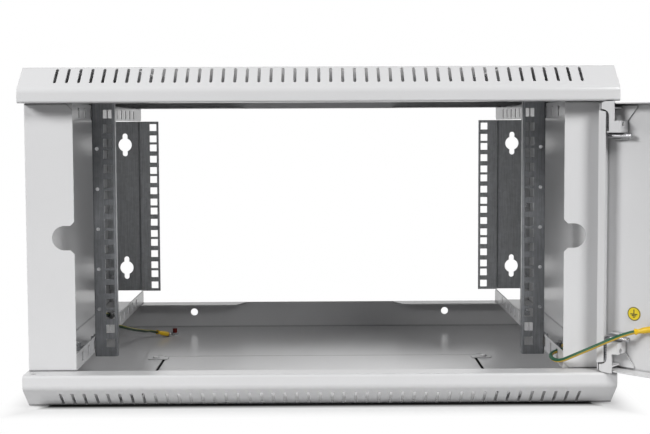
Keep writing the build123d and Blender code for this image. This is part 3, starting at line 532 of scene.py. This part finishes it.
prints = [strip("sign_stem", line_width, stem_height, (0, stem_middle))]
for row, width in enumerate(bar_widths):
    prints.append(strip(f"sign_bar_{row}", width, line_width, (0, first_bar - row * bar_step)))
bpy.ops.object.select_all(action="DESELECT")
bpy.ops.mesh.primitive_torus_add(major_radius=ring_radius, minor_radius=ring_thickness / 2,
                                 major_segments=48, minor_segments=8, location=(0, 0, disc_thickness / 2))
ring = bpy.context.object
bpy.ops.object.transform_apply(location=True, rotation=False, scale=False)
for piece in prints:
    piece.select_set(True)
ring.select_set(True)
bpy.context.view_layer.objects.active = prints[0]
bpy.ops.object.join()
sign_print = bpy.context.object
sign_print.name = "earth_sign_print"
sign_print.data.transform(sign_frame)
for piece in (sign_disc, sign_print):
    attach(piece, "door")
print("faces of the print:", len(sign_print.data.polygons))

# %% [markdown]
# ## Powder coat
# The sheets are steel with a light grey polyester powder coat. The baked powder leaves a very fine orange
# peel, a satin gloss and soft, thick edges. The coat could be one colour and one gloss. Here its tone drifts
# slowly, its edges are rounded in the shading, which leaves the imported sheets alone, and seams and corners
# are darkened as painted shade.

# %% Powder coat material
def powder_coat(name, code):
    """Light grey polyester powder on steel, with a fine orange peel."""
    made, tree = new_material(name)
    place = add(tree, "ShaderNodeTexCoord")
    # The thickness of the coat, and with it tone and gloss, drifts over about 110 mm
    shade = add(tree, "ShaderNodeTexNoise", Vector=place.outputs["Object"], Scale=9.0, Detail=3.0)
    tone = add(tree, "ShaderNodeMapRange", Value=shade.outputs["Fac"], To_Min=0.97, To_Max=1.03)
    tint = add(tree, "ShaderNodeMix", multiply_colours, Factor=1.0, i6=colour(code), i7=tone.outputs[0])
    # Seams and corners are darkened over about 4 mm, painted shade where parts meet and in inner corners
    seam = add(tree, "ShaderNodeAmbientOcclusion", {"samples": 8}, Distance=0.004)
    painted_seam_shade = add(tree, "ShaderNodeMapRange", Value=seam.outputs["AO"], From_Min=0.15, From_Max=0.85,
                To_Min=0.15, To_Max=1.0)
    seam_shaded_tint = add(tree, "ShaderNodeMix", multiply_colours, Factor=1.0, i6=tint.outputs[2],
                i7=painted_seam_shade.outputs[0])
    # Orange peel has waves of about 1.2 mm
    peel = add(tree, "ShaderNodeTexNoise", Vector=place.outputs["Object"], Scale=1 / 0.0012, Detail=2.0)
    # An edge under the coat is round over about 0.1 mm, drawn as 0.6 mm so that it shows
    edge = add(tree, "ShaderNodeBevel", {"samples": 4}, Radius=0.0006)
    relief = add(tree, "ShaderNodeBump", Height=peel.outputs["Fac"], Strength=0.35, Distance=0.0002,
                 Normal=edge.outputs[0])
    rough = add(tree, "ShaderNodeMapRange", Value=shade.outputs["Fac"], To_Min=0.15, To_Max=0.21)
    skin = add(tree, "ShaderNodeBsdfPrincipled", Base_Color=seam_shaded_tint.outputs[2], Roughness=rough.outputs[0],
               Specular_IOR_Level=0.28, Normal=relief.outputs[0])
    add(tree, "ShaderNodeOutputMaterial", Surface=skin.outputs[0])
    return made


grey_powder = powder_coat("light_grey_powder_coat", "#D8D8D9")
print("made:", grey_powder.name)


# %% Coat the sheets
def coat(material, pieces):
    """Gives each piece this finish in place of its own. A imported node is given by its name."""
    for piece in pieces:
        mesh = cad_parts[piece].data if isinstance(piece, str) else piece.data
        mesh.materials.clear()
        mesh.materials.append(material)
    print(material.name, "pieces:", len(pieces))


coat(grey_powder,
     ("bottom_cover", "top_cover", "bottom_entry_plate", "top_entry_plate", "side_panel_left",
      "side_panel_right", "door_panel", "hinge_bracket_upper", "hinge_bracket_lower", "entry_plate_screws"))

# %% [markdown]
# ## Galvanised steel
# The rails and the rear brackets are left as hot-dip galvanised strip. Zinc cools into spangles, flat
# crystals a few millimetres across that differ slightly in grey and gloss. They could be painted as a
# picture. Here a pattern of cells makes them, each cell with one grey and one gloss, at any size and on any
# face. The rear brackets are the same zinc, given a brighter colour as painted light against the shade deep
# in the cabinet.

# %% Galvanised material
def galvanised(name, code, spangle):
    """Zinc spangles of the given size in metres on a dull grey metal."""
    made, tree = new_material(name)
    place = add(tree, "ShaderNodeTexCoord")
    grain = add(tree, "ShaderNodeTexVoronoi", Vector=place.outputs["Object"], Scale=1 / spangle)
    # The bath leaves low waves about 17 mm long
    cloud = add(tree, "ShaderNodeTexNoise", Vector=place.outputs["Object"], Scale=60.0, Detail=4.0)
    # The strip was rolled and drawn upright, which leaves streaks about 1 mm wide and 25 mm long
    drawn = add(tree, "ShaderNodeMapping", Vector=place.outputs["Object"],
                Scale=(1 / 0.001, 1 / 0.001, 1 / 0.025))
    streak = add(tree, "ShaderNodeTexNoise", Vector=drawn.outputs[0], Scale=1.0, Detail=2.0)
    level = add(tree, "ShaderNodeSeparateColor", Color=grain.outputs["Color"])
    tone = add(tree, "ShaderNodeMapRange", Value=level.outputs[0], To_Min=0.93, To_Max=1.05)
    lines = add(tree, "ShaderNodeMapRange", Value=streak.outputs["Fac"], From_Min=0.3, From_Max=0.7,
                To_Min=0.86, To_Max=1.12)
    both = add(tree, "ShaderNodeMath", {"operation": "MULTIPLY"}, i0=tone.outputs[0], i1=lines.outputs[0])
    tint = add(tree, "ShaderNodeMix", multiply_colours, Factor=1.0, i6=colour(code), i7=both.outputs[0])
    rough = add(tree, "ShaderNodeMapRange", Value=level.outputs[1], To_Min=0.30, To_Max=0.46)
    relief = add(tree, "ShaderNodeBump", Height=cloud.outputs["Fac"], Strength=0.06, Distance=0.0003)
    skin = add(tree, "ShaderNodeBsdfPrincipled", Base_Color=tint.outputs[2], Metallic=0.6,
               Roughness=rough.outputs[0], Normal=relief.outputs[0])
    add(tree, "ShaderNodeOutputMaterial", Surface=skin.outputs[0])
    return made


coat(galvanised("hot_dip_galvanised_strip", "#838588", spangle=0.005),
     ("front_rail_left", "front_rail_right"))
# The rear brackets' colour is brightened, painted light for the shade at the back of the cabinet
coat(galvanised("brightened_galvanised_strip", "#C4C6C8", spangle=0.004),
     ("rear_bracket_left", "rear_bracket_right"))

# %% [markdown]
# ## Plated fasteners, pins and lock
# Screws and nuts are bright zinc, pale and half dull. The hinge pins and the lock are nickel plated, a
# darker mirror. The welded earth studs have the dark red copper flash that such studs come with, and their
# lugs are tinned, pale and soft. Each plating could have nodes of its own. They differ only in colour, gloss
# and wear, so one function makes them all.

# %% Plated metals
gloss_spread = 0.06


def plated(name, code, rough, wear):
    """A plated metal whose gloss varies in fine patches of about 1 mm."""
    made, tree = new_material(name)
    place = add(tree, "ShaderNodeTexCoord")
    patch = add(tree, "ShaderNodeTexNoise", Vector=place.outputs["Object"], Scale=1 / 0.001, Detail=3.0)
    tone = add(tree, "ShaderNodeMapRange", Value=patch.outputs["Fac"], To_Min=1 - wear, To_Max=1 + wear)
    tint = add(tree, "ShaderNodeMix", multiply_colours, Factor=1.0, i6=colour(code), i7=tone.outputs[0])
    gloss = add(tree, "ShaderNodeMapRange", Value=patch.outputs["Fac"], To_Min=rough - gloss_spread,
                To_Max=rough + gloss_spread)
    # Small turned and stamped pieces have their edges broken by about 0.2 mm
    edge = add(tree, "ShaderNodeBevel", {"samples": 4}, Radius=0.0002)
    skin = add(tree, "ShaderNodeBsdfPrincipled", Base_Color=tint.outputs[2], Metallic=1.0,
               Roughness=gloss.outputs[0], Normal=edge.outputs[0])
    add(tree, "ShaderNodeOutputMaterial", Surface=skin.outputs[0])
    return made


coat(plated("bright_zinc_plate", "#C4C6C8", rough=0.24, wear=0.06),
     ("side_screws", "side_nuts", "rail_bolts", "rail_nuts", "bracket_screws", "floor_stud_nut",
      "door_stud_nut", "lock_nut", "lock_cam_screw", "lock_cam"))
coat(plated("nickel_plate", "#B4B4B6", rough=0.10, wear=0.04),
     ("hinge_pin_upper", "hinge_pin_lower", "lock_housing", "lock_core"))
coat(plated("copper_flash", "#7C2F2B", rough=0.35, wear=0.12), ("floor_stud", "door_stud"))
coat(plated("tinned_copper", "#CBCBC8", rough=0.30, wear=0.06), ("cabinet_lugs", "door_lug"))
coat(plated("drawn_spring_wire", "#86888A", rough=0.32, wear=0.08), (coil_upper, coil_lower))

# %% [markdown]
# ## Vinyl on the leads
# Earth wire is PVC, green with a yellow stripe, in a soft gloss. On the door's lead the stripe takes about
# half the girth. Of the floor's lead mostly the dark green side is seen, so its stripe is narrower here. Its
# green and yellow are darker copies of the door lead's, painted shade for the floor of the cabinet. A
# stripe could be painted on. The UV map of a lead runs round it, so a limit on that value divides the girth.
# The sleeves over the lugs are plain yellow vinyl. The photograph shows no yellow behind the left rail, so
# the hidden sleeve there is painted dark grey in place of its yellow, as painted shade.

# %% Vinyl materials
def vinyl(name, code, second=None, split=0.5, rough=0.34):
    """Soft PVC in one colour, or in two that divide the girth along the UV map."""
    made, tree = new_material(name)
    place = add(tree, "ShaderNodeTexCoord")
    # Soft PVC is faintly cloudy, in patches of about 2 mm
    cloud = add(tree, "ShaderNodeTexNoise", Vector=place.outputs["Object"], Scale=1 / 0.002, Detail=3.0)
    tone = add(tree, "ShaderNodeMapRange", Value=cloud.outputs["Fac"], To_Min=0.92, To_Max=1.06)
    base = colour(code)
    if second:
        girth = add(tree, "ShaderNodeSeparateXYZ", Vector=place.outputs["UV"])
        band = add(tree, "ShaderNodeMath", {"operation": "GREATER_THAN"}, i0=girth.outputs[1], i1=split)
        stripes = add(tree, "ShaderNodeMix", {"data_type": "RGBA"}, Factor=band.outputs[0], i6=base,
                      i7=colour(second))
        base = stripes.outputs[2]
    tint = add(tree, "ShaderNodeMix", multiply_colours, Factor=1.0, i6=base, i7=tone.outputs[0])
    relief = add(tree, "ShaderNodeBump", Height=cloud.outputs["Fac"], Strength=0.06, Distance=0.0002)
    skin = add(tree, "ShaderNodeBsdfPrincipled", Base_Color=tint.outputs[2], Roughness=rough,
               Normal=relief.outputs[0])
    add(tree, "ShaderNodeOutputMaterial", Surface=skin.outputs[0])
    return made


coat(vinyl("green_and_yellow_pvc", "#125234", "#C4A232", split=0.45, rough=0.45), [door_lead])
# The floor's lead has darker copies of the same colours, painted shade
coat(vinyl("shaded_green_and_yellow_pvc", "#A0922A", "#0C2C12", split=0.20, rough=0.60), [floor_lead])
coat(vinyl("yellow_pvc_sleeve", "#E2B918"), [sleeves[spot] for spot in sleeves if spot != "nut_left"])
# The sleeve behind the left rail is painted dark grey as shade
coat(vinyl("yellow_sleeve_painted_dark", "#3A3C3E"), [sleeves["nut_left"]])
coat(vinyl("dark_red_pvc_collar", "#5E1A1E"), list(collars.values()))
coat(vinyl("yellow_sign_film", "#E6CD1E"), [sign_disc])
coat(vinyl("black_sign_ink", "#241F12"), [sign_print])
